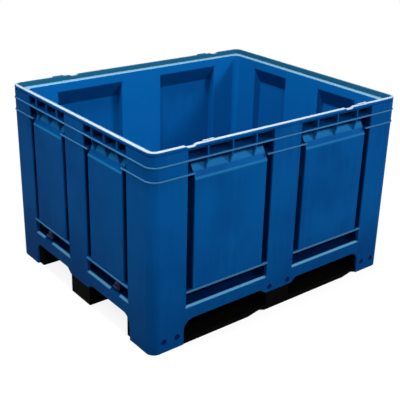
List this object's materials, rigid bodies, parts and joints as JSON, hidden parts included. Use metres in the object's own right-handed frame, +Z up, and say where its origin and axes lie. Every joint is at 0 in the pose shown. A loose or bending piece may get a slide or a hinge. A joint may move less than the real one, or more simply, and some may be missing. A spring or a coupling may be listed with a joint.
{
  "type": "pallet box",
  "caption": "Closed-wall plastic pallet box with hollow posts, a stacking rim, fork openings on every side, lengthwise runners and pull-out drain bungs.",
  "frame": {"origin": "on the floor, under the middle of the box", "axes": "+X along the long sides, +Y across the box towards the rear long side, +Z up"},
  "size_m": [1.2, 1, 0.764],
  "materials": {
    "body_plastic": "satin",
    "runner_plastic": "matt",
    "pin_plastic": "matt",
    "screw_steel": "zinc plated",
    "bung_plastic": "satin",
    "seal_rubber": "matt"
  },
  "bodies": {
    "box": {"box_body": "body_plastic", "runner_front": "runner_plastic", "runner_middle": "runner_plastic", "runner_rear": "runner_plastic", "runner_pins_front_left": "pin_plastic", "runner_pins_front_middle": "pin_plastic", "runner_pins_front_right": "pin_plastic", "runner_pins_rear_left": "pin_plastic", "runner_pins_rear_middle": "pin_plastic", "runner_pins_rear_right": "pin_plastic", "runner_screws_left": "screw_steel", "runner_screws_middle": "screw_steel", "runner_screws_right": "screw_steel"},
    "bung_left_front": {"drain_bung_left_front": "bung_plastic", "drain_seal_left_front": "seal_rubber"},
    "bung_left_rear": {"drain_bung_left_rear": "bung_plastic", "drain_seal_left_rear": "seal_rubber"},
    "bung_right_front": {"drain_bung_right_front": "bung_plastic", "drain_seal_right_front": "seal_rubber"},
    "bung_right_rear": {"drain_bung_right_rear": "bung_plastic", "drain_seal_right_rear": "seal_rubber"}
  },
  "joints": [
    {"name": "bung_left_front_pull", "type": "slide", "parent": "box", "child": "bung_left_front", "axis": [-1, 0, 0], "range_m": [0, 0.06]},
    {"name": "bung_left_rear_pull", "type": "slide", "parent": "box", "child": "bung_left_rear", "axis": [-1, 0, 0], "range_m": [0, 0.06]},
    {"name": "bung_right_front_pull", "type": "slide", "parent": "box", "child": "bung_right_front", "axis": [1, 0, 0], "range_m": [0, 0.06]},
    {"name": "bung_right_rear_pull", "type": "slide", "parent": "box", "child": "bung_right_rear", "axis": [1, 0, 0], "range_m": [0, 0.06]}
  ]
}
